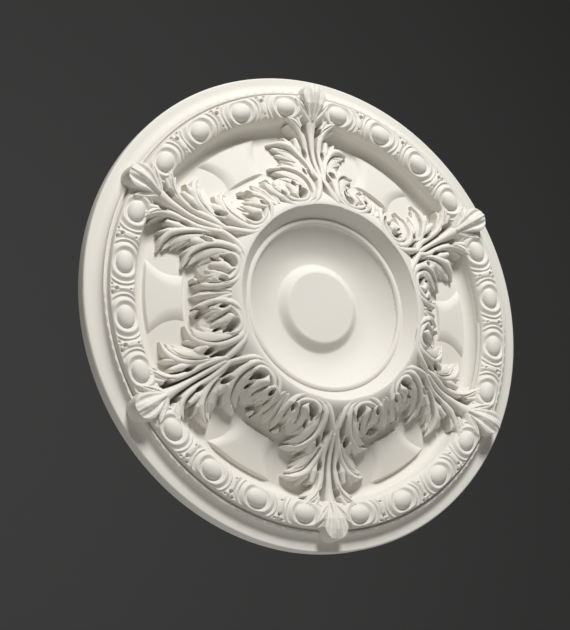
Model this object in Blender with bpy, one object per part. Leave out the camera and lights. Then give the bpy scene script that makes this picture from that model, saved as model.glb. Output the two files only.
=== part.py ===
"""Ceiling rose in cast plaster: a turned disc with six acanthus sprays, six panels and a ring of eggs.

The rose stands upright. Its flat back lies in the plane Y = 0 with its centre at the
origin, its carved face looks along -Y, and one spray points straight up, along +Z.
The relief is a height above the back, worked out over the wedge between the axis of one spray and the axis
of the next panel. That wedge is mirrored and repeated around the centre.
"""

import math

import bmesh
import bpy
import numpy as np

# Turned body in metres, from the edge inwards: widths across it and heights above its flat back.
DIAMETER = 0.600
EDGE_HEIGHT = 0.0145
EDGE_ROUND = 0.0025
FLANGE_WIDTH = 0.0060
CAVETTO_WIDTH = 0.0123
CAVETTO_RISE = 0.0085
FILLET_WIDTH = 0.0030
GROOVE_WIDTH = 0.0035
GROOVE_WALL = 0.0006
GROOVE_DEPTH = 0.0030
BAND_WIDTH = 0.0320
BAND_HEIGHT = 0.0325
BAND_OUTER_DROP = 0.0030
BAND_INNER_DROP = 0.0095
LEDGE_WIDTH = 0.0020
LEDGE_DROP = 0.0035
COVE_WIDTH = 0.0130
FIELD_HEIGHT = 0.0060
FIELD_INNER_RADIUS = 0.1780
FIELD_INNER_HEIGHT = 0.0150
COLLAR_RADIUS = 0.1225
COLLAR_HEIGHT = 0.0600
COLLAR_ROUND = 0.0015
SLOPE_WIDTH = 0.0125
SLOPE_DROP = 0.0180
BEAD_WIDTH = 0.0075
BEAD_RISE = 0.0020
DISH_DEPTH = 0.0200
BOSS_DIAMETER = 0.1000
BOSS_HEIGHT = 0.0290
BOSS_ROUND = 0.0070

# Eggs: four between neighbouring sprays, each inside its oval shell.
EGG_PITCH = math.radians(14.4)
EGG_LENGTH = 0.0264
EGG_WIDTH = 0.0220
EGG_RISE = 0.0060
SHELL_FLATTENING = 0.89
SHELL_RISE = 0.0032
SHELL_PLACE = 0.0185
SHELL_HALF = 0.0032
DART_HALF = 0.0040
SHELL_BRIM = 1.5

# Panels: a pillow between neighbouring sprays, with hollow sides.
PANEL_RISE = 0.0048
PANEL_OUTER_HALF = 0.0530
PANEL_INNER_HALF = 0.0281
PANEL_SIDE_HOLLOW = 0.0095
PANEL_SIDE_BEVEL = 0.0160
PANEL_END_BEVEL = 0.0030

# Sprays: the leaves spring from a bed that sags over the field and rises over the eggs.
SPRAYS = 6
LEAF_TIP_INSET = 0.0038
LEAF_FOOT_DROP = 0.0042
LEAF_LOW = 0.0270
LEAF_LOW_RADIUS = 0.2060
LEAF_RISE_OVER_EGGS = 0.0060
LEAF_THICKNESS = 0.0085
DROOP_START = math.radians(7)
DROOP_END = math.radians(22)
DROOP_SHARE = 0.85
LEAF_CROWN = 0.60
WEB_CROWN = 0.20
LEAF_EYE_DEPTH = 0.0200
EYE_BRIM = 1.15
EYE_WALL = 0.3
WALL_SLOPE = 6.0

# Finish.
PLASTER_COLOUR = (0.80, 0.78, 0.72, 1.0)
PLASTER_ROUGHNESS = 0.65

# Mesh: steps of the sampled relief and of its paths, and the triangles that one half wedge keeps.
SAMPLE_STEP = 0.0014
CURVE_STEPS = 3
PLAIN_RAYS = 5
RAY_SHARE = 22
PATH_STEPS = 6
WEDGE_TRIANGLES = 785
WELD = 0.00001
SNAP = 0.0012

WEDGE = math.pi / SPRAYS
RADIUS = DIAMETER / 2
FLANGE_HEIGHT = EDGE_HEIGHT + EDGE_ROUND
FILLET_HEIGHT = FLANGE_HEIGHT + CAVETTO_RISE
CAVETTO_OUTER = RADIUS - EDGE_ROUND - FLANGE_WIDTH
FILLET_RADIUS = CAVETTO_OUTER - CAVETTO_WIDTH
BAND_OUTER = FILLET_RADIUS - FILLET_WIDTH - GROOVE_WIDTH
BAND_INNER = BAND_OUTER - BAND_WIDTH
BAND_MIDDLE = (BAND_OUTER + BAND_INNER) / 2
COVE_FOOT = BAND_INNER - LEDGE_WIDTH - COVE_WIDTH
LEAF_FOOT = COLLAR_RADIUS - LEAF_FOOT_DROP
LEAF_LENGTH = CAVETTO_OUTER - LEAF_TIP_INSET - LEAF_FOOT

# Strands of one half spray. A strand is a row of stations: place across the spray's axis, place out along it
# and half width, in hundredths of the spray's length, then the lift above the bed in metres.
STRANDS = {
    "stem": [(0, 26, 1.6, 0.0), (0, 45, 1.5, 0.001), (0, 60, 2.4, 0.001), (0, 70, 4.0, 0.001),
             (0, 78, 4.0, 0.0)],
    "side petal": [(2.5, 73, 2.6, 0.0), (6.5, 78, 4.2, 0.0), (10.5, 83, 3.2, -0.001),
                   (13.8, 87, 0.6, -0.003)],
    "upper rib": [(2.2, 24, 1.6, 0.0), (5.0, 36, 1.9, 0.001), (5.2, 46, 1.7, 0.001),
                  (6.4, 56, 2.0, 0.001), (9.5, 64, 2.4, 0.001), (15, 70, 2.6, 0.0),
                  (23, 74.5, 0.5, -0.004)],
    "upper tooth one": [(9, 68, 1.6, -0.001), (12.5, 73.5, 2.0, -0.002), (16, 78, 0.5, -0.005)],
    "upper tooth two": [(12, 69, 1.8, -0.002), (17.5, 73.5, 1.7, -0.002), (20.5, 77, 0.4, -0.005)],
    "middle rib": [(2.8, 26, 2.0, -0.002), (8.2, 37, 2.3, 0.001), (12.5, 45.5, 2.5, 0.001),
                   (18, 51.3, 2.4, 0.0), (25.5, 53.6, 1.8, -0.004), (33.2, 52.4, 0.4, -0.009)],
    "middle finger one": [(9.2, 43, 1.8, -0.001), (11.4, 50, 2.6, 0.001), (12.8, 57.0, 1.7, -0.002)],
    "middle finger two": [(14.5, 49, 1.8, -0.001), (18.2, 53.8, 2.1, -0.002), (21.4, 58.4, 0.5, -0.008)],
    "lower rib": [(17, 1.5, 2.2, 0.0), (11.8, 5.5, 2.4, 0.0), (9.8, 12, 2.5, 0.001),
                  (10.5, 19, 2.8, 0.001), (12.8, 25.0, 2.9, 0.001), (18, 30.2, 2.5, 0.001),
                  (25.4, 33.2, 1.8, -0.002), (34.6, 32.4, 0.4, -0.005)],
    "lower finger one": [(13.2, 27, 1.8, -0.002), (14.8, 31.2, 3.0, 0.001), (15.4, 35.0, 2.8, -0.001)],
    "lower finger two": [(17.5, 30, 2.0, -0.001), (21.6, 33.4, 2.3, -0.002), (25.4, 37.0, 0.5, -0.007)],
    "scroll": [(0.6, 27, 1.4, -0.001), (2.5, 20.5, 1.9, 0.0), (4.6, 13.5, 2.1, 0.0), (7.6, 6.8, 2.2, 0.0),
               (13, 1.2, 2.3, 0.0), (20, -1.2, 2.3, 0.0), (28, -0.4, 2.2, 0.0), (35, 3.6, 2.1, 0.0),
               (39.8, 10, 2.1, 0.001), (41.3, 15.0, 2.0, 0.0), (40.9, 19.0, 1.7, -0.001),
               (39.2, 22.4, 0.8, -0.003)],
    "inner ring": [(16.4, 15, 0.8, -0.003), (14.6, 11.4, 1.4, 0.0), (15.0, 7.4, 1.6, 0.0),
                   (18.6, 3.9, 1.8, 0.0), (24.5, 2.9, 1.8, 0.0), (30.4, 4.2, 1.8, 0.0),
                   (35.0, 8.4, 1.5, 0.001), (36.4, 14.5, 0.9, -0.001)],
    "inner petal one": [(26.2, 18.8, 0.6, -0.005), (25.6, 15.8, 2.0, -0.001), (24.8, 11.8, 3.2, 0.001),
                        (25.4, 8.0, 2.8, 0.001), (24.0, 4.8, 2.0, -0.001)],
    "inner petal two": [(30.4, 18.6, 0.5, -0.006), (31.0, 15.4, 1.7, -0.001), (31.8, 12.0, 2.4, 0.001),
                        (30.6, 8, 1.5, 0.0)],
    "inner petal three": [(34.4, 17.6, 0.5, -0.005), (33.8, 14.8, 1.6, 0.0), (32.8, 12.0, 2.0, 0.001)],
    "inner petal four": [(38.2, 13.8, 0.5, -0.002), (35.4, 12.8, 1.6, 0.001), (32.8, 11.6, 2.0, 0.001)],
}

# Webs that join the strands of one lobe or scroll below their backs, in the same units.
WEBS = {
    "top petal": [(0, 73, 3.4, 0.0), (0, 78, 4.4, 0.002), (0, 84, 7.4, 0.005), (0, 89.8, 9.4, 0.005)],
    "scroll web": [(23, 5, 7.5, -0.004), (24.5, 11, 8.5, -0.004), (26.6, 15.5, 7.5, -0.005),
                   (28, 18.5, 6.0, -0.008)],
    "lower web": [(12, 13, 1.8, -0.003), (14.5, 23, 3.6, -0.002), (18.5, 28.6, 4.2, -0.003),
                  (24, 32.0, 3.2, -0.006), (29, 32.4, 1.6, -0.008)],
    "lower blade": [(13.4, 13, 1.2, -0.003), (15.7, 20, 2.4, -0.002), (21, 25.6, 3.0, -0.003),
                    (26, 28.6, 2.2, -0.005), (31.2, 29.4, 0.5, -0.006)],
    "lower tooth": [(17, 18, 2.2, -0.003), (22.6, 22.0, 2.4, -0.005), (28.6, 24.2, 0.6, -0.008)],
    "middle web": [(8.6, 34, 2.4, -0.003), (12.5, 43, 4.6, -0.002), (17.5, 49.4, 4.6, -0.004),
                   (24, 52.0, 3.2, -0.008), (28.5, 52.2, 1.6, -0.011)],
    "middle blade": [(9.6, 31, 1.4, -0.004), (13.5, 40, 3.0, -0.002), (19, 45.5, 3.4, -0.004),
                     (25, 48.6, 2.0, -0.008), (30.0, 49.6, 0.5, -0.009)],
    "middle tooth one": [(15, 40.5, 2.4, -0.003), (21.5, 43.6, 2.2, -0.006), (27.0, 45.2, 0.6, -0.011)],
    "middle tooth two": [(13, 36, 1.8, -0.004), (18, 39.2, 2.0, -0.006), (23.6, 41.0, 0.6, -0.011)],
    "upper web": [(6.5, 57, 1.8, -0.003), (10, 65.5, 3.6, -0.003), (15, 70.5, 3.4, -0.004)],
}

# Palmette on the panel's axis between two scrolls, in the same units, measured from that axis, with its lift
# above the ground.
PALMETTE = {
    "middle leaf": [(0, 11, 1.2, 0.002), (0, 17, 2.0, 0.006), (0, 22, 2.9, 0.010), (0, 26, 2.8, 0.010),
                    (0, 30.6, 0.4, 0.004)],
    "side leaf": [(1.6, 10, 1.2, 0.002), (3.6, 16, 1.6, 0.006), (5.2, 21.5, 1.6, 0.008),
                  (6.6, 26.4, 0.4, 0.004)],
}

# Cut lines: place across and out and half width in hundredths, then the depth in metres.
GROOVES = {
    "middle channel": [(8.3, 33.8, 1.0, 0.006), (10.6, 38.6, 1.4, 0.009), (15.2, 45.1, 1.2, 0.006),
                       (19.7, 49.0, 1.0, 0.004), (26, 50.8, 0.6, 0.002)],
    "lower channel": [(12.1, 10.5, 0.8, 0.004), (12.7, 17, 1.1, 0.007), (15.0, 23.4, 1.3, 0.008),
                      (18.9, 28.2, 1.2, 0.007), (24.2, 31.6, 1.0, 0.004), (28, 32.6, 0.5, 0.002)],
}

# Drilled eyes: place across and out, half width and half length in hundredths, and lean in radians.
EYES = {
    "top eye": (6.3, 65.2, 2.0, 2.9, 0.35),
    "middle eye": (7.5, 46.5, 1.5, 3.8, 0.1),
    "low eye": (11.6, 29.4, 1.8, 3.6, -0.1),
    "scroll eye": (19.2, 9.4, 2.8, 4.8, -0.45),
    "scroll slot": (18.6, 14.2, 0.9, 2.6, -0.1),
    "petal slot": (22.0, 18.2, 1.2, 3.6, 0.05),
    "ring gap": (36.6, 18.6, 1.6, 3.8, -0.34),
    "small eye": (34.0, 7.6, 1.3, 2.7, 0.3),
}


def ease(t):
    """Soft step from 0 to 1."""
    t = np.clip(t, 0.0, 1.0)
    return t * t * (3.0 - 2.0 * t)


def hollow(t):
    """Quarter round that is level at 0 and steep at 1."""
    return 1.0 - np.sqrt(1.0 - np.clip(t, 0.0, 1.0) ** 2)


def swell(t):
    """Quarter round that is steep at 0 and level at 1."""
    return 1.0 - hollow(1.0 - t)


def straight(t):
    """Even slope."""
    return np.clip(t, 0.0, 1.0)


def bowl(t):
    """Level at 0 and evenly steepening to 1."""
    return np.clip(t, 0.0, 1.0) ** 2


def pillow(t):
    """Steepest at 0 and evenly levelling out to 1."""
    return 1.0 - bowl(1.0 - t)


def profile():
    """Radius and height of each break in the turned profile, from the centre out, and the curve up to it."""
    dish_edge = COLLAR_RADIUS - COLLAR_ROUND - SLOPE_WIDTH
    bead_inner = dish_edge - BEAD_WIDTH
    bead_height = COLLAR_HEIGHT - SLOPE_DROP
    dish_height = bead_height - BEAD_RISE - DISH_DEPTH
    boss_radius = BOSS_DIAMETER / 2
    band_inner_height = BAND_HEIGHT - BAND_INNER_DROP
    groove_height = FILLET_HEIGHT - GROOVE_DEPTH
    return [
        (0.0, BOSS_HEIGHT, straight),
        (boss_radius - BOSS_ROUND, BOSS_HEIGHT, straight),
        (boss_radius + BOSS_ROUND, dish_height, ease),
        (bead_inner, bead_height - BEAD_RISE, bowl),
        (bead_inner + BEAD_WIDTH / 2, bead_height + BEAD_RISE, swell),
        (dish_edge, bead_height, hollow),
        (COLLAR_RADIUS - COLLAR_ROUND, COLLAR_HEIGHT - COLLAR_ROUND, straight),
        (COLLAR_RADIUS, COLLAR_HEIGHT, swell),
        (FIELD_INNER_RADIUS, FIELD_INNER_HEIGHT, ease),
        (COVE_FOOT, FIELD_HEIGHT, straight),
        (BAND_INNER - LEDGE_WIDTH, band_inner_height - LEDGE_DROP, hollow),
        (BAND_INNER, band_inner_height, straight),
        (BAND_MIDDLE, BAND_HEIGHT, swell),
        (BAND_OUTER, BAND_HEIGHT - BAND_OUTER_DROP, hollow),
        (BAND_OUTER + GROOVE_WALL, groove_height, straight),
        (BAND_OUTER + GROOVE_WIDTH - GROOVE_WALL, groove_height, straight),
        (BAND_OUTER + GROOVE_WIDTH, FILLET_HEIGHT, straight),
        (FILLET_RADIUS, FILLET_HEIGHT, straight),
        (CAVETTO_OUTER, FLANGE_HEIGHT, swell),
        (RADIUS - EDGE_ROUND, FLANGE_HEIGHT, straight),
        (RADIUS, EDGE_HEIGHT, hollow),
    ]


def turned(r):
    """Height of the turned body at radius r."""
    breaks = profile()
    h = np.full(r.shape, EDGE_HEIGHT)
    for (r0, h0, _), (r1, h1, curve) in zip(breaks, breaks[1:]):
        inside = (r >= r0) & (r <= r1)
        h[inside] = h0 + (h1 - h0) * curve((r[inside] - r0) / (r1 - r0))
    return h


def bed(r):
    """Level that the leaves spring from at radius r."""
    inner = COLLAR_RADIUS + LEAF_FOOT_DROP
    outer = COVE_FOOT - LEAF_FOOT_DROP
    sag = (COLLAR_HEIGHT - LEAF_LOW) * ease((r - inner) / (LEAF_LOW_RADIUS - inner))
    rise = (BAND_HEIGHT + LEAF_RISE_OVER_EGGS - LEAF_LOW) * ease((r - outer) / (BAND_OUTER - outer))
    return COLLAR_HEIGHT - sag + rise


def droop(level, base, angle):
    """Level of the leaves, sinking towards the turned base away from the spray's axis."""
    spare = np.maximum(level - base - LEAF_THICKNESS, 0.0)
    return level - spare * DROOP_SHARE * ease((angle - DROOP_START) / (DROOP_END - DROOP_START))


def smooth_path(points):
    """Places along the smooth curve through the points, counted in points, and the curve itself."""
    ends = np.vstack([2 * points[0] - points[1], points, 2 * points[-1] - points[-2]])
    last = len(points) - 1
    place = np.linspace(0, last, PATH_STEPS * last + 1)
    k = np.minimum(place.astype(int), last - 1)
    f = (place - k)[:, None]
    a, b, c, d = ends[k], ends[k + 1], ends[k + 2], ends[k + 3]
    curve = b + 0.5 * f * (c - a + f * (2 * a - 5 * b + 4 * c - d + f * (3 * b - a - 3 * c + d)))
    return place, curve


def nearest(x, y, points):
    """Place of each spot along the smooth curve through the points, and its distance from the curve."""
    place, path = smooth_path(points)
    best = np.full(x.shape, np.inf)
    at = np.zeros(x.shape)
    for k, ((x0, y0), (x1, y1)) in enumerate(zip(path, path[1:])):
        dx = x1 - x0
        dy = y1 - y0
        f = np.clip(((x - x0) * dx + (y - y0) * dy) / (dx * dx + dy * dy), 0.0, 1.0)
        gap = (x - x0 - f * dx) ** 2 + (y - y0 - f * dy) ** 2
        near = gap < best
        best[near] = gap[near]
        at[near] = place[k] + f[near] * (place[k + 1] - place[k])
    return at, np.sqrt(best)


def strand(x, y, level, stations, crown=LEAF_CROWN):
    """Height of one strand: a rounded back over its width and steep walls beyond."""
    table = np.array(stations, float)
    unit = LEAF_LENGTH / 100
    at, gap = nearest(x, y, table[:, :2] * unit + (0.0, LEAF_FOOT))
    station = np.arange(len(table))
    half = np.interp(at, station, table[:, 2]) * unit
    lift = np.interp(at, station, table[:, 3])
    back = crown * half * np.minimum(gap / half, 1.0) ** 2
    return level + lift - back - np.maximum(gap - half, 0.0) * WALL_SLOPE


def groove(x, y, stations):
    """Depth of one cut line: rounded at its bottom and soft at its brims."""
    table = np.array(stations, float)
    unit = LEAF_LENGTH / 100
    at, gap = nearest(x, y, table[:, :2] * unit + (0.0, LEAF_FOOT))
    station = np.arange(len(table))
    half = np.interp(at, station, table[:, 2]) * unit
    return np.interp(at, station, table[:, 3]) * ease(1.0 - gap / half)


def drill(x, y, level, floor, eye):
    """Leaf level after sinking one oval eye towards the floor."""
    across, out, half_width, half_length, lean = eye
    unit = LEAF_LENGTH / 100
    dx = x - across * unit
    dy = y - LEAF_FOOT - out * unit
    along = dx * math.sin(lean) + dy * math.cos(lean)
    aside = dx * math.cos(lean) - dy * math.sin(lean)
    reach = np.hypot(aside / (half_width * unit), along / (half_length * unit))
    sunk = np.minimum(level, np.maximum(floor, level - LEAF_EYE_DEPTH))
    return level + (sunk - level) * ease((EYE_BRIM - reach) / EYE_WALL)


def eggs(r, angle):
    """Relief of the eggs, their shells and the darts between them on the band."""
    out = r - BAND_MIDDLE
    h = np.zeros(r.shape)
    for k in (1, 3):
        across = (angle - WEDGE + k * EGG_PITCH / 2) * BAND_MIDDLE
        reach = np.hypot(across / (EGG_LENGTH / 2), out / (EGG_WIDTH / 2))
        h = np.maximum(h, EGG_RISE * np.sqrt(np.clip(1.0 - reach ** 2, 0.0, 1.0)))
        ring = np.hypot(across, out / SHELL_FLATTENING)
        h = np.maximum(h, SHELL_RISE * ease(SHELL_BRIM - np.abs(ring - SHELL_PLACE) / SHELL_HALF))
    for k in (0, 2, 4):
        across = (angle - WEDGE + k * EGG_PITCH / 2) * BAND_MIDDLE
        h = np.maximum(h, SHELL_RISE * ease(SHELL_BRIM - np.abs(across) / DART_HALF))
    return (h - SHELL_RISE / 2) * ease((r - BAND_INNER) / SHELL_RISE) * ease((BAND_OUTER - r) / SHELL_RISE)


def panel(x, y):
    """Relief of the pillow, by place across and along its own axis."""
    r = np.hypot(x, y)
    t = np.clip((y - FIELD_INNER_RADIUS) / (COVE_FOOT - FIELD_INNER_RADIUS), 0.0, 1.0)
    side = PANEL_INNER_HALF + (PANEL_OUTER_HALF - PANEL_INNER_HALF) * t - PANEL_SIDE_HOLLOW * 4 * t * (1 - t)
    sides = pillow(np.clip((side - np.abs(x)) / PANEL_SIDE_BEVEL, 0.0, 1.0))
    ends = ease((COVE_FOOT - r) / PANEL_END_BEVEL) * ease((r - FIELD_INNER_RADIUS) / PANEL_END_BEVEL)
    return PANEL_RISE * sides * ends


def relief(x, y):
    """Height above the back in the wedge beside a spray's axis, which is the y axis here."""
    r = np.hypot(x, y)
    across = y * math.sin(WEDGE) - x * math.cos(WEDGE)
    along = x * math.sin(WEDGE) + y * math.cos(WEDGE)
    angle = np.arctan2(x, y)
    base = turned(np.minimum(r, RADIUS))
    h = base + eggs(r, angle) + panel(across, along)
    carved = r > COLLAR_RADIUS - COLLAR_ROUND
    level = droop(bed(r[carved]), base[carved], angle[carved])
    leaf = np.full(level.shape, -1.0)
    for stations in STRANDS.values():
        leaf = np.maximum(leaf, strand(x[carved], y[carved], level, stations))
    for stations in WEBS.values():
        leaf = np.maximum(leaf, strand(x[carved], y[carved], level, stations, WEB_CROWN))
    for stations in GROOVES.values():
        leaf = leaf - groove(x[carved], y[carved], stations)
    for stations in PALMETTE.values():
        leaf = np.maximum(leaf, strand(across[carved], along[carved], h[carved], stations))
    for eye in EYES.values():
        leaf = drill(x[carved], y[carved], leaf, h[carved], eye)
    h[carved] = np.maximum(h[carved], leaf)
    return h


def ring_radii(low, high, carved):
    """Radii of the rings from low to high: one at each break of the profile and more between."""
    breaks = profile()
    radii = []
    for (r0, _, _), (r1, _, curve) in zip(breaks, breaks[1:]):
        if r0 < low or r1 > high:
            continue
        steps = math.ceil((r1 - r0) / SAMPLE_STEP) if carved else 1 if curve is straight else CURVE_STEPS
        radii += [r0 + (r1 - r0) * (k + 1) / steps for k in range(steps)]
    return radii


def ring_places(radii, rays):
    """Places on rings of even rays over the half wedge."""
    angle, r = np.meshgrid(np.linspace(0.0, WEDGE, rays + 1), radii)
    return np.stack([r * np.sin(angle), r * np.cos(angle)], axis=-1).reshape(-1, 2)


def ring_faces(start, rings, rays):
    """Triangles between neighbouring rings whose places are counted from start."""
    faces = []
    for ring in range(rings - 1):
        for ray in range(rays):
            a = start + ring * (rays + 1) + ray
            b = a + rays + 1
            faces += [(a, b, b + 1), (a, b + 1, a + 1)]
    return faces


def joint_faces(inner, outer):
    """Triangles between the last plain ring and the first carved ring around it."""
    faces = []
    half = RAY_SHARE // 2
    for ray in range(PLAIN_RAYS * RAY_SHARE):
        near = (ray + half) // RAY_SHARE
        faces.append((inner + near, outer + ray, outer + ray + 1))
    for ray in range(PLAIN_RAYS):
        faces.append((inner + ray, outer + (ray + 1) * RAY_SHARE - half, inner + ray + 1))
    return faces


def wedge_mesh():
    """The sampled half wedge, thinned to the triangles that its shape needs."""
    arris = COLLAR_RADIUS - COLLAR_ROUND
    plain = ring_radii(0.0, arris, False)
    carved = ring_radii(arris, RADIUS, True)
    rays = PLAIN_RAYS * RAY_SHARE
    places = np.vstack([[(0.0, 0.0)], ring_places(plain, PLAIN_RAYS), ring_places(carved, rays)])
    x = places[:, 0]
    y = places[:, 1]
    corners = np.stack([x, -relief(x, y), y], axis=-1)
    outer = 1 + len(plain) * (PLAIN_RAYS + 1)
    faces = [(0, ray + 1, ray + 2) for ray in range(PLAIN_RAYS)]
    faces += ring_faces(1, len(plain), PLAIN_RAYS)
    faces += joint_faces(outer - PLAIN_RAYS - 1, outer)
    faces += ring_faces(outer, len(carved), rays)
    mesh = bpy.data.meshes.new("wedge")
    mesh.from_pydata(corners.tolist(), [], faces)
    wedge = bpy.data.objects.new("wedge", mesh)
    bpy.context.scene.collection.objects.link(wedge)
    group = wedge.vertex_groups.new(name="carved")
    group.add(list(range(outer, len(corners))), 1.0, "REPLACE")
    thin = wedge.modifiers.new("thin", "DECIMATE")
    thin.vertex_group = "carved"
    thin.ratio = WEDGE_TRIANGLES / len(faces)
    bpy.context.view_layer.update()
    thinned = wedge.evaluated_get(bpy.context.evaluated_depsgraph_get()).to_mesh()
    bm = bmesh.new()
    bm.from_mesh(thinned)
    bpy.data.objects.remove(wedge)
    bpy.data.meshes.remove(mesh)
    return bm


def true_up(bm):
    """Bring the wedge's open edges back to its two mirror planes and rim, and drop faces left flat there."""
    for vertex in bm.verts:
        if not vertex.is_boundary:
            continue
        x, height, z = vertex.co
        r = math.hypot(x, z)
        angle = math.atan2(x, z)
        if r > RADIUS - SNAP:
            r = RADIUS
        if r * min(abs(angle), abs(WEDGE - angle)) < SNAP:
            angle = 0.0 if abs(angle) < abs(WEDGE - angle) else WEDGE
        vertex.co = (r * math.sin(angle), height, r * math.cos(angle))
    on_plane = []
    for face in bm.faces:
        aside = [abs(vertex.co.x) for vertex in face.verts]
        beyond = [abs(vertex.co.x * math.cos(WEDGE) - vertex.co.z * math.sin(WEDGE)) for vertex in face.verts]
        if min(max(aside), max(beyond)) < WELD:
            on_plane.append(face)
    bmesh.ops.delete(bm, geom=on_plane, context="FACES")


def whole_mesh(bm):
    """Mirror and repeat the wedge around the centre, then close it with its edge and its flat back."""
    source = bpy.data.meshes.new("source")
    bm.to_mesh(source)
    bm.free()
    whole = bmesh.new()
    for k in range(2 * SPRAYS):
        mirrored = k % 2 == 1
        start = len(whole.verts)
        whole.from_mesh(source)
        whole.verts.ensure_lookup_table()
        turn = (k + mirrored) * WEDGE
        for vertex in whole.verts[start:]:
            x, height, z = vertex.co
            x = -x if mirrored else x
            turned_x = x * math.cos(turn) + z * math.sin(turn)
            turned_z = z * math.cos(turn) - x * math.sin(turn)
            vertex.co = (turned_x, height, turned_z)
    bmesh.ops.remove_doubles(whole, verts=whole.verts, dist=WELD)
    rim = [edge for edge in whole.edges if edge.is_boundary]
    edge_wall = bmesh.ops.extrude_edge_only(whole, edges=rim)["geom"]
    for vertex in edge_wall:
        if isinstance(vertex, bmesh.types.BMVert):
            vertex.co.y = 0.0
    back = [edge for edge in whole.edges if edge.is_boundary]
    bmesh.ops.contextual_create(whole, geom=back)
    bmesh.ops.recalc_face_normals(whole, faces=whole.faces)
    mesh = bpy.data.meshes.new("ceiling_rose")
    whole.to_mesh(mesh)
    whole.free()
    bpy.data.meshes.remove(source)
    return mesh


def plaster():
    """Matt warm white plaster."""
    material = bpy.data.materials.new("plaster")
    material.use_nodes = True
    shader = material.node_tree.nodes["Principled BSDF"]
    shader.inputs["Base Color"].default_value = PLASTER_COLOUR
    shader.inputs["Roughness"].default_value = PLASTER_ROUGHNESS
    shader.inputs["Metallic"].default_value = 0.0
    return material


def main():
    """Build the rose in an empty scene."""
    for old in list(bpy.data.objects):
        bpy.data.objects.remove(old)
    bm = wedge_mesh()
    true_up(bm)
    mesh = whole_mesh(bm)
    mesh.materials.append(plaster())
    rose = bpy.data.objects.new("ceiling_rose", mesh)
    bpy.context.scene.collection.objects.link(rose)


main()
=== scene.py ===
"""Looks of the cast plaster ceiling rose: the finely carved casting, its plaster, studio light and camera.

The rose stands upright, its flat back in the plane Y = 0, its carved face towards -Y and one spray along +Z.
Its relief is a height above the back, worked out over the wedge between the axis of one spray and the axis of
the next panel. That wedge is mirrored and repeated around the centre.
"""

import math

import bmesh
import bpy
import numpy as np
from mathutils import Matrix, Vector


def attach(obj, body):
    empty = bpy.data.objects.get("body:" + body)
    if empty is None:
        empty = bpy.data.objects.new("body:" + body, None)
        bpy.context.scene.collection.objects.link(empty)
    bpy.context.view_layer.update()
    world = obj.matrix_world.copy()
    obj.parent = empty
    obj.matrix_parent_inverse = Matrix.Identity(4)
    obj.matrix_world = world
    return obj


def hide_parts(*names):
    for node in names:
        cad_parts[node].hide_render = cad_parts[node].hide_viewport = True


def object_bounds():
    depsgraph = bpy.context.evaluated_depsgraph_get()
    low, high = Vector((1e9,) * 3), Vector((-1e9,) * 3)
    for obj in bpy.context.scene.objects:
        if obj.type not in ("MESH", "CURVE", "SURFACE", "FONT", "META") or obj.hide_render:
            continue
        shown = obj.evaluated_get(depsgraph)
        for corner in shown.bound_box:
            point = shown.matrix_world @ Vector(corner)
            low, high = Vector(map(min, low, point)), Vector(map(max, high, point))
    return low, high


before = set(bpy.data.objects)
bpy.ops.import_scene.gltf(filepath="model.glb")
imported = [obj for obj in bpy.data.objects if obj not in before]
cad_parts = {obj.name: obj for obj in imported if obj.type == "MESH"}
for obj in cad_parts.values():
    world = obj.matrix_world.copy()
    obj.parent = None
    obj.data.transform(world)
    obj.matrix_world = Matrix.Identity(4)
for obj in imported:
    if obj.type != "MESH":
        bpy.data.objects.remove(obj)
CAD_LOW, CAD_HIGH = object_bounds()
RADIUS = (CAD_HIGH.x - CAD_LOW.x) / 2
DEPTH = CAD_HIGH.y - CAD_LOW.y

# Turned body in metres, from the edge inwards: widths across it and heights above its flat back.
EDGE_HEIGHT = 0.0145
EDGE_ROUND = 0.0025
FLANGE_WIDTH = 0.0060
CAVETTO_WIDTH = 0.0123
CAVETTO_RISE = 0.0085
FILLET_WIDTH = 0.0030
GROOVE_WIDTH = 0.0035
GROOVE_DEPTH = 0.0030
BAND_WIDTH = 0.0320
BAND_HEIGHT = 0.0325
BAND_OUTER_DROP = 0.0030
BAND_INNER_DROP = 0.0095
LEDGE_WIDTH = 0.0020
LEDGE_DROP = 0.0035
COVE_WIDTH = 0.0130
FIELD_HEIGHT = 0.0060
FIELD_INNER_RADIUS = 0.1780
FIELD_INNER_HEIGHT = 0.0150
COLLAR_RADIUS = 0.1225
COLLAR_HEIGHT = 0.0600
COLLAR_ROUND = 0.0015
SLOPE_WIDTH = 0.0125
SLOPE_DROP = 0.0180
BEAD_WIDTH = 0.0075
BEAD_RISE = 0.0020
DISH_DEPTH = 0.0200
BOSS_DIAMETER = 0.1000
BOSS_HEIGHT = 0.0290
BOSS_ROUND = 0.0070

# Eggs: four between neighbouring sprays, each inside its oval shells; drilled darts stand between them.
# A shell is its distance from the egg's middle, half width and share of the rise. A dart's hole is its place
# aside, its place out from the band's middle, radius and depth.
EGG_PITCH = math.radians(14.4)
EGG_LENGTH = 0.0264
EGG_WIDTH = 0.0220
EGG_RISE = 0.0060
SHELL_FLATTENING = 0.89
SHELL_RISE = 0.0032
SHELLS = ((0.0186, 0.0034, 1.0), (0.0262, 0.0017, 0.75), (0.0332, 0.0034, 0.9))
DART_HOLES = ((0.0, 0.0086, 0.0020, 0.0050), (0.0048, 0.0146, 0.0017, 0.0045),
              (0.0, -0.0084, 0.0013, 0.0025))
DART_BRIM = 1.5

# Panels: a pillow between neighbouring sprays, with hollow sides.
PANEL_RISE = 0.0048
PANEL_OUTER_HALF = 0.0530
PANEL_INNER_HALF = 0.0281
PANEL_SIDE_HOLLOW = 0.0095
PANEL_SIDE_BEVEL = 0.0160
PANEL_END_BEVEL = 0.0030

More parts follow.
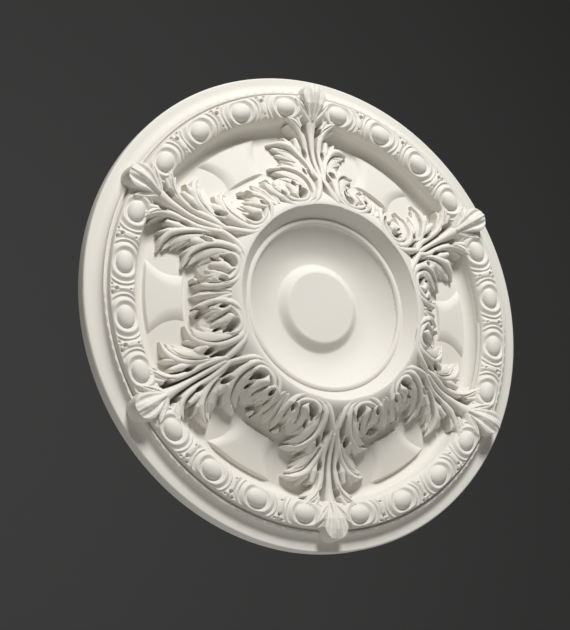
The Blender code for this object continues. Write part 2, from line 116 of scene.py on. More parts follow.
# Sprays: the leaves spring from a bed that sags over the field and rises over the eggs.
SPRAYS = 6
LEAF_TIP_INSET = 0.0038
LEAF_FOOT_DROP = 0.0042
LEAF_LOW = 0.0270
LEAF_LOW_RADIUS = 0.2060
LEAF_RISE_OVER_EGGS = 0.0060
LEAF_THICKNESS = 0.0085
DROOP_START = math.radians(7)
DROOP_END = math.radians(22)
DROOP_SHARE = 0.60
LEAF_CROWN = 0.60
WEB_CROWN = 0.20
LEAF_EYE_DEPTH = 0.0200
EYE_FLOOR = 0.68
EYE_BRIM = 1.15
EYE_WALL = 0.3
WALL_SLOPE = 11.0

# Mesh: steps of the sampled relief and the triangles that one half wedge keeps.
SAMPLE_STEP = 0.0007
PATH_STEPS = 6
WEDGE_TRIANGLES = 16200
WELD = 0.00001
SNAP = 0.0006
SHARP_ANGLE = math.radians(80)
NORMAL_STEP = 0.0003
NORMAL_INSET = 0.25
UPRIGHT = 0.0001

# Looks, light and camera.
PLASTER_LIGHT = (0.72, 0.695, 0.635, 1.0)
PLASTER_SHADE = (0.69, 0.665, 0.605, 1.0)
PLASTER_SPECULAR = 0.35
ROUGHNESS_RANGE = (0.58, 0.74)
MOTTLE_SCALE = 9.0
MOTTLE_DETAIL = 5.0
MOTTLE_ROUGHNESS = 0.6
MOTTLE_RANGE = (0.30, 0.70)
TOOTH_SCALE = 700.0
TOOTH_DETAIL = 3.0
TOOTH_STRENGTH = 0.12
TOOTH_DEPTH = 0.0004
FLOOR_COLOUR = (0.75, 0.75, 0.74, 1.0)
FLOOR_ROUGHNESS = 0.9
FLOOR_HEIGHT = -1.2
FLOOR_SIZE = 12.0
WALL_COLOUR = (0.100, 0.100, 0.101, 1.0)
WALL_ROUGHNESS = 0.95
WALL_PLACE = (0.0, 3.4, 1.3)
WALL_WIDTH = 14.0
WALL_HEIGHT = 7.0
KEY_PLACE = (0.04, -1.88, 2.22)
KEY_SIZE = 0.8
KEY_POWER = 104.0
KEY_COLOUR = (1.0, 1.0, 1.0)
FILL_PLACE = (-2.6, -0.9, 0.2)
FILL_SIZE = 1.2
FILL_POWER = 7.0
FILL_COLOUR = (1.0, 0.97, 0.92)
WORLD_COLOUR = (1.0, 0.92, 0.80, 1.0)
WORLD_STRENGTH = 0.045
CAMERA_PLACE = (-0.8319, -1.5015, -0.4353)
CAMERA_YAW = math.radians(-30.25)
CAMERA_PITCH = math.radians(10.85)
CAMERA_ROLL = math.radians(-3.08)
LENS = 81.26
SENSOR_WIDTH = 36.0
SHIFT = (-0.095, 0.127)

WEDGE = math.pi / SPRAYS
FLANGE_HEIGHT = EDGE_HEIGHT + EDGE_ROUND
FILLET_HEIGHT = FLANGE_HEIGHT + CAVETTO_RISE
CAVETTO_OUTER = RADIUS - EDGE_ROUND - FLANGE_WIDTH
FILLET_RADIUS = CAVETTO_OUTER - CAVETTO_WIDTH
BAND_OUTER = FILLET_RADIUS - FILLET_WIDTH - GROOVE_WIDTH
BAND_INNER = BAND_OUTER - BAND_WIDTH
BAND_MIDDLE = (BAND_OUTER + BAND_INNER) / 2
COVE_FOOT = BAND_INNER - LEDGE_WIDTH - COVE_WIDTH
LEAF_FOOT = COLLAR_RADIUS - LEAF_FOOT_DROP
LEAF_LENGTH = CAVETTO_OUTER - LEAF_TIP_INSET - LEAF_FOOT

# Strands of one half spray. A strand is a row of stations: place across the spray's axis, place out along it
# and half width, in hundredths of the spray's length, then the lift above the bed in metres.
STRANDS = {
    "stem": [(0, 26, 1.6, 0.0), (0, 45, 1.5, 0.001), (0, 60, 2.4, 0.001), (0, 70, 4.0, 0.001),
             (0, 78, 4.0, 0.0)],
    "petal ridge": [(0, 73, 1.2, 0.003), (0, 84, 1.5, 0.006), (0, 92, 1.7, 0.007), (0, 98.2, 0.9, 0.004)],
    "side petal": [(2.5, 73, 2.6, 0.0), (6.5, 78, 4.2, 0.0), (10.5, 83, 3.2, -0.001),
                   (13.8, 87, 0.6, -0.003)],
    "upper rib": [(2.2, 24, 1.6, 0.0), (5.0, 36, 1.9, 0.001), (5.2, 46, 1.7, 0.001), (6.4, 56, 2.0, 0.001),
                  (9.5, 64, 2.4, 0.001), (15, 70, 2.6, 0.0), (23, 74.5, 0.5, -0.004)],
    "upper tooth one": [(9, 68, 1.6, -0.001), (12.5, 73.5, 2.0, -0.002), (16, 78, 0.5, -0.005)],
    "upper tooth two": [(12, 69, 1.8, -0.002), (17.5, 73.5, 1.7, -0.002), (20.5, 77, 0.4, -0.005)],
    "upper tooth three": [(8.5, 60, 1.6, -0.003), (13, 65, 2.0, -0.003), (19.5, 67.5, 0.5, -0.006)],
    "middle rib": [(2.8, 26, 2.0, -0.002), (8.2, 37, 2.3, 0.001), (12.5, 45.5, 2.5, 0.001),
                   (18, 51.3, 2.4, 0.0), (25.5, 53.6, 1.8, -0.004), (33.2, 52.4, 0.4, -0.009)],
    "middle finger one": [(9.2, 43, 1.8, -0.001), (11.4, 50, 2.6, 0.001), (12.8, 57.0, 1.7, -0.002)],
    "middle finger two": [(14.5, 49, 1.8, -0.001), (18.2, 53.8, 2.1, -0.002), (21.4, 58.4, 0.5, -0.008)],
    "lower rib": [(17, 1.5, 2.2, 0.0), (11.8, 5.5, 2.4, 0.0), (9.8, 12, 2.5, 0.001), (10.5, 19, 2.8, 0.001),
                  (12.8, 25.0, 2.9, 0.001), (18, 30.2, 2.5, 0.001), (25.4, 33.2, 1.8, -0.002),
                  (34.6, 32.4, 0.4, -0.005)],
    "lower curl": [(10.2, 22, 0.9, -0.002), (9.4, 27, 0.9, -0.002), (9.2, 32.5, 0.6, -0.005)],
    "lower finger one": [(13.2, 27, 1.8, -0.002), (14.8, 31.2, 3.0, 0.001), (15.4, 35.0, 2.8, -0.001)],
    "lower finger two": [(17.5, 30, 2.0, -0.001), (21.6, 33.4, 2.3, -0.002), (25.4, 37.0, 0.5, -0.007)],
    "scroll": [(0.6, 27, 1.4, -0.001), (2.5, 20.5, 1.9, 0.0), (4.6, 13.5, 2.1, 0.0), (7.6, 6.8, 2.2, 0.0),
               (13, 1.2, 2.3, 0.0), (20, -1.2, 2.3, 0.0), (28, -0.4, 2.2, 0.0), (35, 3.6, 2.1, 0.0),
               (39.8, 10, 2.1, 0.001), (41.3, 15.0, 2.0, 0.0), (40.9, 19.0, 1.7, -0.001),
               (39.2, 22.4, 0.8, -0.003)],
    "inner ring": [(16.4, 15, 0.8, -0.003), (14.6, 11.4, 1.4, 0.0), (15.0, 7.4, 1.6, 0.0),
                   (18.6, 3.9, 1.8, 0.0), (24.5, 2.9, 1.8, 0.0), (30.4, 4.2, 1.8, 0.0),
                   (35.0, 8.4, 1.5, 0.001), (36.4, 14.5, 0.9, -0.001)],
    "inner petal one": [(26.2, 18.8, 0.6, -0.005), (25.6, 15.8, 2.0, -0.001), (24.8, 11.8, 3.2, 0.001),
                        (25.4, 8.0, 2.8, 0.001), (24.0, 4.8, 2.0, -0.001)],
    "inner petal two": [(30.4, 18.6, 0.5, -0.006), (31.0, 15.4, 1.7, -0.001), (31.8, 12.0, 2.4, 0.001),
                        (30.6, 8, 1.5, 0.0)],
    "inner petal three": [(34.4, 17.6, 0.5, -0.005), (33.8, 14.8, 1.6, 0.0), (32.8, 12.0, 2.0, 0.001)],
    "inner petal four": [(38.2, 13.8, 0.5, -0.002), (35.4, 12.8, 1.6, 0.001), (32.8, 11.6, 2.0, 0.001)],
    "small ring": [(31.4, 11.0, 1.1, 0.001), (31.2, 6.6, 1.1, 0.001), (33.8, 4.4, 1.1, 0.001),
                   (36.4, 7.8, 1.0, 0.001), (35.4, 11.2, 1.0, 0.001)],
}

# Webs that join the strands of one lobe or scroll below their backs, in the same units.
WEBS = {
    "top petal": [(0, 73, 3.4, 0.0), (0, 78, 4.4, 0.002), (0, 84, 7.4, 0.005), (0, 89.8, 9.4, 0.005)],
    "scroll web": [(23, 5, 7.5, -0.004), (24.5, 11, 8.5, -0.004), (26.6, 15.5, 7.5, -0.005),
                   (28, 18.5, 6.0, -0.008)],
    "lower web": [(12, 13, 1.8, -0.003), (14.5, 23, 3.6, -0.002), (18.5, 28.6, 4.2, -0.003),
                  (24, 32.0, 3.2, -0.006), (29, 32.4, 1.6, -0.008)],
    "lower blade": [(13.4, 13, 1.2, -0.003), (15.7, 20, 2.4, -0.002), (21, 25.6, 3.0, -0.003),
                    (26, 28.6, 2.2, -0.005), (31.2, 29.4, 0.5, -0.006)],
    "lower tooth": [(17, 18, 2.2, -0.003), (22.6, 22.0, 2.4, -0.005), (28.6, 24.2, 0.6, -0.008)],
    "lower tooth two": [(17, 16, 1.6, -0.004), (21.0, 18.2, 1.8, -0.006), (25.0, 20.4, 0.5, -0.009)],
    "middle web": [(8.6, 34, 2.4, -0.003), (12.5, 43, 4.6, -0.002), (17.5, 49.4, 4.6, -0.004),
                   (24, 52.0, 3.2, -0.008), (28.5, 52.2, 1.6, -0.011)],
    "middle blade": [(9.6, 31, 1.4, -0.004), (13.5, 40, 3.0, -0.002), (19, 45.5, 3.4, -0.004),
                     (25, 48.6, 2.0, -0.008), (30.0, 49.6, 0.5, -0.009)],
    "middle tooth one": [(15, 40.5, 2.4, -0.003), (21.5, 43.6, 2.2, -0.006), (27.0, 45.2, 0.6, -0.011)],
    "middle tooth two": [(13, 36, 1.8, -0.004), (18, 39.2, 2.0, -0.006), (23.6, 41.0, 0.6, -0.011)],
    "upper web": [(6.5, 57, 1.8, -0.003), (10, 65.5, 3.6, -0.003), (15, 70.5, 3.4, -0.004)],
}

# Palmette on the panel's axis between two scrolls, in the same units, measured from that axis, with its lift
# above the ground.
PALMETTE = {
    "middle leaf": [(0, 11, 1.2, 0.002), (0, 17, 2.0, 0.006), (0, 22, 2.9, 0.010), (0, 26, 2.8, 0.010),
                    (0, 30.6, 0.4, 0.004)],
    "middle vein": [(0, 14, 0.5, 0.004), (0, 22, 0.7, 0.0115), (0, 26.5, 0.6, 0.0115),
                    (0, 30.8, 0.3, 0.005)],
    "side leaf": [(1.6, 10, 1.2, 0.002), (3.6, 16, 1.6, 0.006), (5.2, 21.5, 1.6, 0.008),
                  (6.6, 26.4, 0.4, 0.004)],
}

# Cut lines: place across and out and half width in hundredths, then the depth in metres.
GROOVES = {
    "petal hollow": [(2.0, 76, 0.9, 0.001), (3.4, 82, 2.0, 0.002), (4.4, 88, 2.9, 0.003),
                     (4.9, 93, 2.8, 0.0025), (4.6, 97, 1.8, 0.001)],
    "side petal crease": [(4, 75.5, 0.8, 0.001), (7.5, 79.5, 1.3, 0.0025), (12, 85, 0.6, 0.0010)],
    "upper crease": [(6.6, 60, 0.7, 0.001), (10.5, 66.5, 1.1, 0.003), (17, 71.4, 0.6, 0.002)],
    "middle channel": [(8.3, 33.8, 1.0, 0.006), (10.6, 38.6, 1.4, 0.009), (15.2, 45.1, 1.2, 0.006),
                       (19.7, 49.0, 1.0, 0.004), (26, 50.8, 0.6, 0.002)],
    "middle vein": [(14, 41.5, 0.5, 0.001), (19, 46.5, 0.8, 0.002), (25, 48.2, 0.4, 0.001)],
    "lower channel": [(12.1, 10.5, 0.8, 0.004), (12.7, 17, 1.1, 0.007), (15.0, 23.4, 1.3, 0.008),
                      (18.9, 28.2, 1.2, 0.007), (24.2, 31.6, 1.0, 0.004), (28, 32.6, 0.5, 0.002)],
    "scroll vein": [(10, 5.6, 0.6, 0.001), (14.5, 2.4, 0.9, 0.0025), (20, 0.9, 1.0, 0.0030),
                    (27.5, 1.3, 0.9, 0.0030), (33.6, 4.8, 0.9, 0.0035), (37.8, 10.4, 0.9, 0.0040),
                    (38.6, 16.5, 1.0, 0.0050)],
    "petal gap": [(28.6, 17.0, 0.8, 0.004), (28.3, 11.5, 1.2, 0.007), (28.6, 7.0, 1.2, 0.006),
                  (24, 4.6, 0.9, 0.003)],
    "leg gap": [(7.2, 13, 0.5, 0.003), (7.3, 20, 0.8, 0.006), (7.0, 28, 0.8, 0.006), (7.4, 33, 0.5, 0.003)],
}

# Drilled eyes: place across and out, half width and half length in hundredths, and lean in radians.
EYES = {
    "top eye": (6.3, 65.2, 2.0, 2.9, 0.35),
    "middle eye": (7.5, 46.5, 1.5, 3.8, 0.10),
    "low eye": (11.6, 29.4, 1.8, 3.6, -0.10),
    "scroll eye": (19.2, 9.4, 2.8, 4.8, -0.45),
    "scroll slot": (18.6, 14.2, 0.9, 2.6, -0.10),
    "petal slot": (22.0, 18.0, 1.0, 3.0, 0.05),
    "ring gap": (36.6, 18.6, 1.2, 3.2, -0.34),
    "small eye": (34.0, 7.6, 1.3, 2.7, 0.30),
}

# Drilled gap of the palmette, in the same units, measured from the panel's axis.
PALMETTE_EYES = {
    "outer gap": (9.4, 27.0, 1.3, 3.4, -0.10),
}


def ease(t):
    """Soft step from 0 to 1."""
    t = np.clip(t, 0.0, 1.0)
    return t * t * (3.0 - 2.0 * t)


def hollow(t):
    """Quarter round that is level at 0 and steep at 1."""
    return 1.0 - np.sqrt(1.0 - np.clip(t, 0.0, 1.0) ** 2)


def swell(t):
    """Quarter round that is steep at 0 and level at 1."""
    return 1.0 - hollow(1.0 - t)


def straight(t):
    """Even slope."""
    return np.clip(t, 0.0, 1.0)


def bowl(t):
    """Level at 0 and evenly steepening to 1."""
    return np.clip(t, 0.0, 1.0) ** 2


def pillow(t):
    """Steepest at 0 and evenly levelling out to 1."""
    return 1.0 - bowl(1.0 - t)


def profile():
    """Radius and height of each break in the turned profile, from the centre out, and the curve up to it."""
    dish_edge = COLLAR_RADIUS - COLLAR_ROUND - SLOPE_WIDTH
    bead_inner = dish_edge - BEAD_WIDTH
    bead_height = COLLAR_HEIGHT - SLOPE_DROP
    dish_height = bead_height - BEAD_RISE - DISH_DEPTH
    boss_radius = BOSS_DIAMETER / 2
    band_inner_height = BAND_HEIGHT - BAND_INNER_DROP
    groove_height = FILLET_HEIGHT - GROOVE_DEPTH
    return [
        (0.0, BOSS_HEIGHT, straight),
        (boss_radius - BOSS_ROUND, BOSS_HEIGHT, straight),
        (boss_radius + BOSS_ROUND, dish_height, ease),
        (bead_inner, bead_height - BEAD_RISE, bowl),
        (bead_inner + BEAD_WIDTH / 2, bead_height + BEAD_RISE, swell),
        (dish_edge, bead_height, hollow),
        (COLLAR_RADIUS - COLLAR_ROUND, COLLAR_HEIGHT - COLLAR_ROUND, straight),
        (COLLAR_RADIUS, COLLAR_HEIGHT, swell),
        (FIELD_INNER_RADIUS, FIELD_INNER_HEIGHT, ease),
        (COVE_FOOT, FIELD_HEIGHT, straight),
        (BAND_INNER - LEDGE_WIDTH, band_inner_height - LEDGE_DROP, hollow),
        (BAND_INNER, band_inner_height, straight),
        (BAND_MIDDLE, BAND_HEIGHT, swell),
        (BAND_OUTER, BAND_HEIGHT - BAND_OUTER_DROP, hollow),
        (BAND_OUTER + GROOVE_WIDTH / 2, groove_height, ease),
        (BAND_OUTER + GROOVE_WIDTH, FILLET_HEIGHT, ease),
        (FILLET_RADIUS, FILLET_HEIGHT, straight),
        (CAVETTO_OUTER, FLANGE_HEIGHT, swell),
        (RADIUS - EDGE_ROUND, FLANGE_HEIGHT, straight),
        (RADIUS, EDGE_HEIGHT, hollow),
    ]


def turned(r):
    """Height of the turned body at radius r."""
    breaks = profile()
    h = np.full(r.shape, EDGE_HEIGHT)
    for (r0, h0, _), (r1, h1, curve) in zip(breaks, breaks[1:]):
        inside = (r >= r0) & (r <= r1)
        h[inside] = h0 + (h1 - h0) * curve((r[inside] - r0) / (r1 - r0))
    return h


def bed(r):
    """Level that the leaves spring from at radius r."""
    inner = COLLAR_RADIUS + LEAF_FOOT_DROP
    outer = COVE_FOOT - LEAF_FOOT_DROP
    sag = (COLLAR_HEIGHT - LEAF_LOW) * ease((r - inner) / (LEAF_LOW_RADIUS - inner))
    rise = (BAND_HEIGHT + LEAF_RISE_OVER_EGGS - LEAF_LOW) * ease((r - outer) / (BAND_OUTER - outer))
    return COLLAR_HEIGHT - sag + rise


def droop(level, base, angle):
    """Level of the leaves, sinking towards the turned base away from the spray's axis."""
    spare = np.maximum(level - base - LEAF_THICKNESS, 0.0)
    return level - spare * DROOP_SHARE * ease((angle - DROOP_START) / (DROOP_END - DROOP_START))


def smooth_path(points):
    """Places along the smooth curve through the points, counted in points, and the curve itself."""
    ends = np.vstack([2 * points[0] - points[1], points, 2 * points[-1] - points[-2]])
    last = len(points) - 1
    place = np.linspace(0, last, PATH_STEPS * last + 1)
    k = np.minimum(place.astype(int), last - 1)
    f = (place - k)[:, None]
    a, b, c, d = ends[k], ends[k + 1], ends[k + 2], ends[k + 3]
    curve = b + 0.5 * f * (c - a + f * (2 * a - 5 * b + 4 * c - d + f * (3 * b - a - 3 * c + d)))
    return place, curve


def nearest(x, y, points):
    """Place of each spot along the smooth curve through the points, and its distance from the curve."""
    place, path = smooth_path(points)
    best = np.full(x.shape, np.inf)
    at = np.zeros(x.shape)
    for k, ((x0, y0), (x1, y1)) in enumerate(zip(path, path[1:])):
        dx = x1 - x0
        dy = y1 - y0
        f = np.clip(((x - x0) * dx + (y - y0) * dy) / (dx * dx + dy * dy), 0.0, 1.0)
        gap = (x - x0 - f * dx) ** 2 + (y - y0 - f * dy) ** 2
        near = gap < best
        best[near] = gap[near]
        at[near] = place[k] + f[near] * (place[k + 1] - place[k])
    return at, np.sqrt(best)


def strand(x, y, level, stations, crown=LEAF_CROWN):
    """Height of one strand: a rounded back over its width and steep walls beyond."""
    table = np.array(stations, float)
    unit = LEAF_LENGTH / 100
    at, gap = nearest(x, y, table[:, :2] * unit + (0.0, LEAF_FOOT))
    station = np.arange(len(table))
    half = np.interp(at, station, table[:, 2]) * unit
    lift = np.interp(at, station, table[:, 3])
    back = crown * half * np.minimum(gap / half, 1.0) ** 2
    return level + lift - back - np.maximum(gap - half, 0.0) * WALL_SLOPE


def groove(x, y, stations):
    """Depth of one cut line: rounded at its bottom and soft at its brims."""
    table = np.array(stations, float)
    unit = LEAF_LENGTH / 100
    at, gap = nearest(x, y, table[:, :2] * unit + (0.0, LEAF_FOOT))
    station = np.arange(len(table))
    half = np.interp(at, station, table[:, 2]) * unit
    return np.interp(at, station, table[:, 3]) * ease(1.0 - gap / half)


def drill(x, y, level, ground, eye):
    """Leaf level after sinking one oval eye to a little below the ground."""
    across, out, half_width, half_length, lean = eye
    unit = LEAF_LENGTH / 100
    dx = x - across * unit
    dy = y - LEAF_FOOT - out * unit
    along = dx * math.sin(lean) + dy * math.cos(lean)
    aside = dx * math.cos(lean) - dy * math.sin(lean)
    reach = np.hypot(aside / (half_width * unit), along / (half_length * unit))
    sunk = np.minimum(level, np.maximum(ground * EYE_FLOOR, level - LEAF_EYE_DEPTH))
    return level + (sunk - level) * ease((EYE_BRIM - reach) / EYE_WALL)


def eggs(r, angle):
    """Relief of the band: eggs at odd half pitches from the panel's axis and drilled darts at even ones."""
    out = r - BAND_MIDDLE
    h = np.zeros(r.shape)
    for k in (1, 3):
        across = (angle - WEDGE + k * EGG_PITCH / 2) * BAND_MIDDLE
        reach = np.hypot(across / (EGG_LENGTH / 2), out / (EGG_WIDTH / 2))
        h = np.maximum(h, EGG_RISE * np.sqrt(np.clip(1.0 - reach ** 2, 0.0, 1.0)))
        ring = np.hypot(across, out / SHELL_FLATTENING)
        for place, half, share in SHELLS:
            h = np.maximum(h, SHELL_RISE * share * np.exp(-((ring - place) / half) ** 2))
    for k in (0, 2, 4):
        aside = (angle - WEDGE + k * EGG_PITCH / 2) * BAND_MIDDLE
        for across, place, hole_radius, depth in DART_HOLES:
            reach = np.hypot(np.abs(aside) - across, out - place) / hole_radius
            h = h - depth * ease(DART_BRIM - reach)
    return (h - SHELL_RISE / 2) * ease((r - BAND_INNER) / SHELL_RISE) * ease((BAND_OUTER - r) / SHELL_RISE)


def panel(x, y):
    """Relief of the pillow, by place across and along its own axis."""
    r = np.hypot(x, y)
    t = np.clip((y - FIELD_INNER_RADIUS) / (COVE_FOOT - FIELD_INNER_RADIUS), 0.0, 1.0)
    side = PANEL_INNER_HALF + (PANEL_OUTER_HALF - PANEL_INNER_HALF) * t - PANEL_SIDE_HOLLOW * 4 * t * (1 - t)
    sides = pillow(np.clip((side - np.abs(x)) / PANEL_SIDE_BEVEL, 0.0, 1.0))
    ends = ease((COVE_FOOT - r) / PANEL_END_BEVEL) * ease((r - FIELD_INNER_RADIUS) / PANEL_END_BEVEL)
    return PANEL_RISE * sides * ends


def relief(x, y):
    """Height above the back in the wedge beside a spray's axis, which is the y axis here."""
    r = np.hypot(x, y)
    across = y * math.sin(WEDGE) - x * math.cos(WEDGE)
    along = x * math.sin(WEDGE) + y * math.cos(WEDGE)
    angle = np.arctan2(x, y)
    base = turned(np.minimum(r, RADIUS))
    h = base + eggs(r, angle) + panel(across, along)
    carved = r > COLLAR_RADIUS - COLLAR_ROUND
    level = droop(bed(r[carved]), base[carved], angle[carved])
    leaf = np.full(level.shape, -1.0)
    for stations in STRANDS.values():
        leaf = np.maximum(leaf, strand(x[carved], y[carved], level, stations))
    for stations in WEBS.values():
        leaf = np.maximum(leaf, strand(x[carved], y[carved], level, stations, WEB_CROWN))
    for stations in GROOVES.values():
        leaf = leaf - groove(x[carved], y[carved], stations)
    for stations in PALMETTE.values():
        leaf = np.maximum(leaf, strand(across[carved], along[carved], h[carved], stations))
    leaf = np.maximum(h[carved], leaf)
    for eye in EYES.values():
        leaf = drill(x[carved], y[carved], leaf, h[carved], eye)
    for eye in PALMETTE_EYES.values():
        leaf = drill(across[carved], along[carved], leaf, h[carved], eye)
    h[carved] = leaf
    return h


def ring_radii():
    """Radii of the sampled rings: one at each break of the profile and even steps between them."""
    breaks = [r for r, _, _ in profile()]
    radii = []
    for r0, r1 in zip(breaks, breaks[1:]):
        steps = math.ceil((r1 - r0) / SAMPLE_STEP)
        radii += [r0 + (r1 - r0) * (k + 1) / steps for k in range(steps)]
    return radii


def wedge_object():
    """The finely sampled half wedge, thinned where its surface is plain."""
    radii = ring_radii()
    rings = len(radii)
    rays = round(WEDGE * RADIUS / SAMPLE_STEP)
    angle, r = np.meshgrid(np.linspace(0.0, WEDGE, rays + 1), radii)
    x = r * np.sin(angle)
    y = r * np.cos(angle)
    h = np.minimum(relief(x, y), DEPTH)
    corners = np.stack([x, -h, y], axis=-1).reshape(-1, 3)
    corners = np.vstack([(0.0, -BOSS_HEIGHT, 0.0), corners])
    ring, ray = np.meshgrid(np.arange(rings - 1), np.arange(rays), indexing="ij")
    a = (1 + ring * (rays + 1) + ray).ravel()
    b = a + rays + 1
    k = np.arange(rays)
    fan = np.stack([np.zeros(rays, int), k + 1, k + 2], axis=-1)
    faces = np.vstack([fan, np.stack([a, b, b + 1], axis=-1), np.stack([a, b + 1, a + 1], axis=-1)])
    mesh = mesh_from("wedge", corners, faces)
    wedge = bpy.data.objects.new("wedge", mesh)
    bpy.context.scene.collection.objects.link(wedge)
    thin = wedge.modifiers.new("thin", "DECIMATE")
    thin.ratio = WEDGE_TRIANGLES / len(faces)
    bpy.context.view_layer.update()
    return wedge


def mesh_from(name, corners, faces):
    """Mesh of triangles from arrays."""
    mesh = bpy.data.meshes.new(name)
    mesh.vertices.add(len(corners))
    mesh.vertices.foreach_set("co", np.asarray(corners, np.float32).ravel())
    mesh.loops.add(3 * len(faces))
    mesh.loops.foreach_set("vertex_index", np.asarray(faces, np.int32).ravel())
    mesh.polygons.add(len(faces))
    mesh.polygons.foreach_set("loop_start", np.arange(0, 3 * len(faces), 3, dtype=np.int32))
    mesh.update(calc_edges=True)
    return mesh


def thinned_wedge():
    """Corners and triangles of the thinned half wedge, with its open edges trued up."""
    wedge = wedge_object()
    evaluated = wedge.evaluated_get(bpy.context.evaluated_depsgraph_get())
    bm = bmesh.new()
    bm.from_mesh(evaluated.to_mesh())
    true_up(bm)
    bmesh.ops.triangulate(bm, faces=bm.faces)
    bm.verts.index_update()
    corners = np.array([vertex.co for vertex in bm.verts])
    faces = np.array([[vertex.index for vertex in face.verts] for face in bm.faces])
    bm.free()
    mesh = wedge.data
    bpy.data.objects.remove(wedge)
    bpy.data.meshes.remove(mesh)
    return corners, faces


def true_up(bm):
    """Bring the wedge's open edges back to its two mirror planes and rim, and drop faces left flat there."""
    for vertex in bm.verts:
        if not vertex.is_boundary:
            continue
        x, height, z = vertex.co
        r = math.hypot(x, z)
        angle = math.atan2(x, z)
        if r > RADIUS - SNAP:
            r = RADIUS
        if r * min(abs(angle), abs(WEDGE - angle)) < SNAP:
            angle = 0.0 if abs(angle) < abs(WEDGE - angle) else WEDGE
        vertex.co = (r * math.sin(angle), height, r * math.cos(angle))
    on_plane = []
    for face in bm.faces:
        aside = [abs(vertex.co.x) for vertex in face.verts]
        beyond = [abs(vertex.co.x * math.cos(WEDGE) - vertex.co.z * math.sin(WEDGE)) for vertex in face.verts]
        if min(max(aside), max(beyond)) < WELD:
            on_plane.append(face)
    bmesh.ops.delete(bm, geom=on_plane, context="FACES")


def corner_normals(corners, faces):
    """Outward direction of the relief a little inside each corner of the wedge's triangles."""
    places = corners[faces]
    inner = places + NORMAL_INSET * (places.mean(axis=1, keepdims=True) - places)
    x = inner[..., 0].ravel()
    y = inner[..., 2].ravel()
    slope_x = (relief(x + NORMAL_STEP, y) - relief(x - NORMAL_STEP, y)) / (2 * NORMAL_STEP)
    slope_y = (relief(x, y + NORMAL_STEP) - relief(x, y - NORMAL_STEP)) / (2 * NORMAL_STEP)
    normals = np.stack([-slope_x, -np.ones(x.shape), -slope_y], axis=-1)
    normals /= np.linalg.norm(normals, axis=-1, keepdims=True)
    return normals.reshape(len(faces), 3, 3)


def behind_relief(mesh):
    """Whether each corner belongs to the upright edge or the flat back."""
    normals = np.zeros(3 * len(mesh.polygons), np.float32)
    mesh.polygons.foreach_get("normal", normals)
    counts = np.zeros(len(mesh.polygons), np.int32)
    mesh.polygons.foreach_get("loop_total", counts)
    return np.repeat(normals[1::3] > -UPRIGHT, counts)


def casting():
    """The whole carved casting: the wedge mirrored and repeated, closed with its edge and its flat back."""
    corners, faces = thinned_wedge()
    normals = corner_normals(corners, faces)
    all_corners = []
    all_faces = []
    all_normals = []
    for k in range(2 * SPRAYS):
        mirrored = k % 2 == 1
        turn = (k + mirrored) * WEDGE
        x = -corners[:, 0] if mirrored else corners[:, 0]
        z = corners[:, 2]
        turned_x = x * math.cos(turn) + z * math.sin(turn)
        turned_z = z * math.cos(turn) - x * math.sin(turn)
        all_corners.append(np.stack([turned_x, corners[:, 1], turned_z], axis=-1))
        all_faces.append((faces[:, ::-1] if mirrored else faces) + k * len(corners))
        side = normals[:, ::-1] * (-1, 1, 1) if mirrored else normals
        turned_side = side.copy()
        turned_side[..., 0] = side[..., 0] * math.cos(turn) + side[..., 2] * math.sin(turn)
        turned_side[..., 2] = side[..., 2] * math.cos(turn) - side[..., 0] * math.sin(turn)
        all_normals.append(turned_side)
    mesh = mesh_from("casting", np.vstack(all_corners), np.vstack(all_faces))
    directions = mesh.attributes.new("direction", "FLOAT_VECTOR", "CORNER")
    directions.data.foreach_set("vector", np.vstack(all_normals).astype(np.float32).ravel())
    bm = bmesh.new()
    bm.from_mesh(mesh)
    bmesh.ops.remove_doubles(bm, verts=bm.verts, dist=WELD)
    rim = [edge for edge in bm.edges if edge.is_boundary]
    wall = bmesh.ops.extrude_edge_only(bm, edges=rim)["geom"]
    for part in wall:
        if isinstance(part, bmesh.types.BMVert):
            part.co.y = 0.0
    back = [edge for edge in bm.edges if edge.is_boundary]
    bmesh.ops.contextual_create(bm, geom=back)
    bmesh.ops.recalc_face_normals(bm, faces=bm.faces)
    bm.to_mesh(mesh)
    bm.free()
    directions = np.zeros(3 * len(mesh.loops), np.float32)
    mesh.attributes["direction"].data.foreach_get("vector", directions)
    directions = directions.reshape(-1, 3)
    directions[behind_relief(mesh)] = 0.0
    mesh.attributes.remove(mesh.attributes["direction"])
    mesh.set_sharp_from_angle(angle=SHARP_ANGLE)
    mesh.normals_split_custom_set(directions)
    rose = bpy.data.objects.new("carved_rose", mesh)
    bpy.context.scene.collection.objects.link(rose)
    return rose


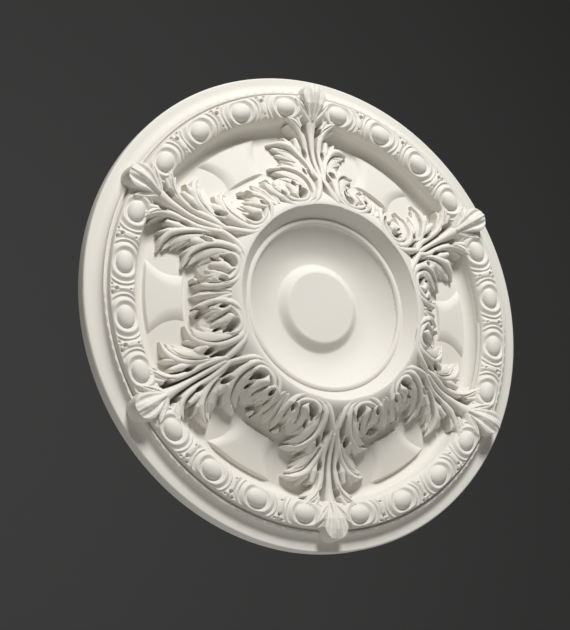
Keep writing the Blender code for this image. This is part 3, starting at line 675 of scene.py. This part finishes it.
def plaster():
    """Matt warm white cast plaster with faint mottling and a fine tooth."""
    material = bpy.data.materials.new("cast_plaster")
    material.use_nodes = True
    nodes = material.node_tree.nodes
    links = material.node_tree.links
    shader = nodes["Principled BSDF"]
    place = nodes.new("ShaderNodeTexCoord")
    cloud = nodes.new("ShaderNodeTexNoise")
    cloud.inputs["Scale"].default_value = MOTTLE_SCALE
    cloud.inputs["Detail"].default_value = MOTTLE_DETAIL
    cloud.inputs["Roughness"].default_value = MOTTLE_ROUGHNESS
    links.new(place.outputs["Object"], cloud.inputs["Vector"])
    tint = nodes.new("ShaderNodeValToRGB")
    tint.color_ramp.elements[0].position = MOTTLE_RANGE[0]
    tint.color_ramp.elements[0].color = PLASTER_SHADE
    tint.color_ramp.elements[1].position = MOTTLE_RANGE[1]
    tint.color_ramp.elements[1].color = PLASTER_LIGHT
    links.new(cloud.outputs["Fac"], tint.inputs["Fac"])
    links.new(tint.outputs["Color"], shader.inputs["Base Color"])
    wear = nodes.new("ShaderNodeMapRange")
    wear.inputs["To Min"].default_value = ROUGHNESS_RANGE[0]
    wear.inputs["To Max"].default_value = ROUGHNESS_RANGE[1]
    links.new(cloud.outputs["Fac"], wear.inputs["Value"])
    links.new(wear.outputs["Result"], shader.inputs["Roughness"])
    grain = nodes.new("ShaderNodeTexNoise")
    grain.inputs["Scale"].default_value = TOOTH_SCALE
    grain.inputs["Detail"].default_value = TOOTH_DETAIL
    links.new(place.outputs["Object"], grain.inputs["Vector"])
    tooth = nodes.new("ShaderNodeBump")
    tooth.inputs["Strength"].default_value = TOOTH_STRENGTH
    tooth.inputs["Distance"].default_value = TOOTH_DEPTH
    links.new(grain.outputs["Fac"], tooth.inputs["Height"])
    links.new(tooth.outputs["Normal"], shader.inputs["Normal"])
    shader.inputs["Specular IOR Level"].default_value = PLASTER_SPECULAR
    return material


def plain(name, colour, roughness):
    """Plain matt surface for the floor and the backdrop."""
    material = bpy.data.materials.new(name)
    material.use_nodes = True
    shader = material.node_tree.nodes["Principled BSDF"]
    shader.inputs["Base Color"].default_value = colour
    shader.inputs["Roughness"].default_value = roughness
    return material


def sheet(name, middle, width, height, turn, material):
    """Flat rectangle of the stage."""
    mesh = bpy.data.meshes.new(name)
    w = width / 2
    h = height / 2
    mesh.from_pydata([(-w, -h, 0), (w, -h, 0), (w, h, 0), (-w, h, 0)], [], [(0, 1, 2, 3)])
    mesh.materials.append(material)
    piece = bpy.data.objects.new(name, mesh)
    piece.location = middle
    piece.rotation_euler = turn
    bpy.context.scene.collection.objects.link(piece)


def stage():
    """Pale floor below the rose and a plain wall far behind it."""
    paper = plain("floor_paper", FLOOR_COLOUR, FLOOR_ROUGHNESS)
    sheet("floor", (0, 0, FLOOR_HEIGHT), FLOOR_SIZE, FLOOR_SIZE, (0, 0, 0), paper)
    wall = plain("wall_paper", WALL_COLOUR, WALL_ROUGHNESS)
    sheet("backdrop", WALL_PLACE, WALL_WIDTH, WALL_HEIGHT, (math.pi / 2, 0, 0), wall)


def lamp(name, place, size, power, colour):
    """Square soft light aimed at the middle of the rose's back."""
    data = bpy.data.lights.new(name, "AREA")
    data.size = size
    data.energy = power
    data.color = colour
    light = bpy.data.objects.new(name, data)
    light.location = place
    light.rotation_euler = (-Vector(place)).to_track_quat("-Z", "Y").to_euler()
    bpy.context.scene.collection.objects.link(light)


def studio():
    """Large soft key light from above the face, a weak fill from the left and even surroundings."""
    lamp("key", KEY_PLACE, KEY_SIZE, KEY_POWER, KEY_COLOUR)
    lamp("fill", FILL_PLACE, FILL_SIZE, FILL_POWER, FILL_COLOUR)
    world = bpy.data.worlds.new("studio")
    world.use_nodes = True
    background = world.node_tree.nodes["Background"]
    background.inputs["Color"].default_value = WORLD_COLOUR
    background.inputs["Strength"].default_value = WORLD_STRENGTH
    bpy.context.scene.world = world
    bpy.context.scene.view_settings.view_transform = "Standard"


def camera():
    """The photograph's view: from the left and from below, slightly tilted."""
    data = bpy.data.cameras.new("camera")
    data.lens = LENS
    data.sensor_width = SENSOR_WIDTH
    data.shift_x, data.shift_y = SHIFT
    view = bpy.data.objects.new("camera", data)
    turn = Matrix.Rotation(CAMERA_YAW, 3, "Z") @ Matrix.Rotation(math.pi / 2 + CAMERA_PITCH, 3, "X")
    turn = turn @ Matrix.Rotation(CAMERA_ROLL, 3, "Z")
    view.matrix_world = Matrix.Translation(CAMERA_PLACE) @ turn.to_4x4()
    bpy.context.scene.collection.objects.link(view)
    bpy.context.scene.camera = view


def main():
    camera()
    rose = casting()
    rose.data.materials.append(plaster())
    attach(rose, "root")
    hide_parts("ceiling_rose")
    stage()
    studio()


main()
